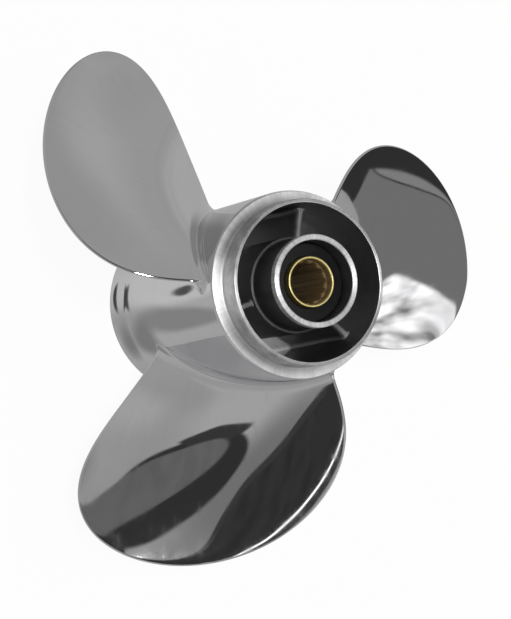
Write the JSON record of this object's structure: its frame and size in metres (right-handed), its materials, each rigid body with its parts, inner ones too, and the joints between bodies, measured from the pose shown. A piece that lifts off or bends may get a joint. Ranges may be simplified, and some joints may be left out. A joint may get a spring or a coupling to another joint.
{
  "type": "boat propeller",
  "caption": "Right-hand outboard propeller with rounded blades, a through-hub exhaust, a rubber slip bush and a splined brass shaft sleeve",
  "frame": {"origin": "on the shaft axis, in the plane of the hub's aft rim", "axes": "+Z runs forward along the shaft axis, towards the gearcase; +X runs out along the middle of blade 1's root"},
  "size_m": [0.2474, 0.2578, 0.1423],
  "materials": {
    "polished_stainless": "mirror polished",
    "machined_stainless": "turned bright",
    "cast_stainless": "dark as cast",
    "black_rubber": "matt moulded",
    "brass": "turned"
  },
  "bodies": {
    "shaft_sleeve": {"spline_sleeve": "brass"},
    "bush": {"rubber_bush": "black_rubber"},
    "propeller": {"hub_barrel": "polished_stainless", "inner_hub_tube": "machined_stainless", "rib_1": "cast_stainless", "rib_2": "cast_stainless", "rib_3": "cast_stainless", "blade_1": "polished_stainless", "blade_2": "polished_stainless", "blade_3": "polished_stainless"}
  },
  "joints": [
    {"name": "hub_windup", "type": "hinge", "parent": "shaft_sleeve", "child": "bush", "pos_m": [0, 0, 0.085], "axis": [0, 0, 1], "range_deg": [-8, 8], "stiffness_Nm_per_rad": 1000},
    {"name": "hub_slip", "type": "hinge", "parent": "bush", "child": "propeller", "pos_m": [0, 0, 0.085], "axis": [0, 0, 1], "continuous": true}
  ]
}
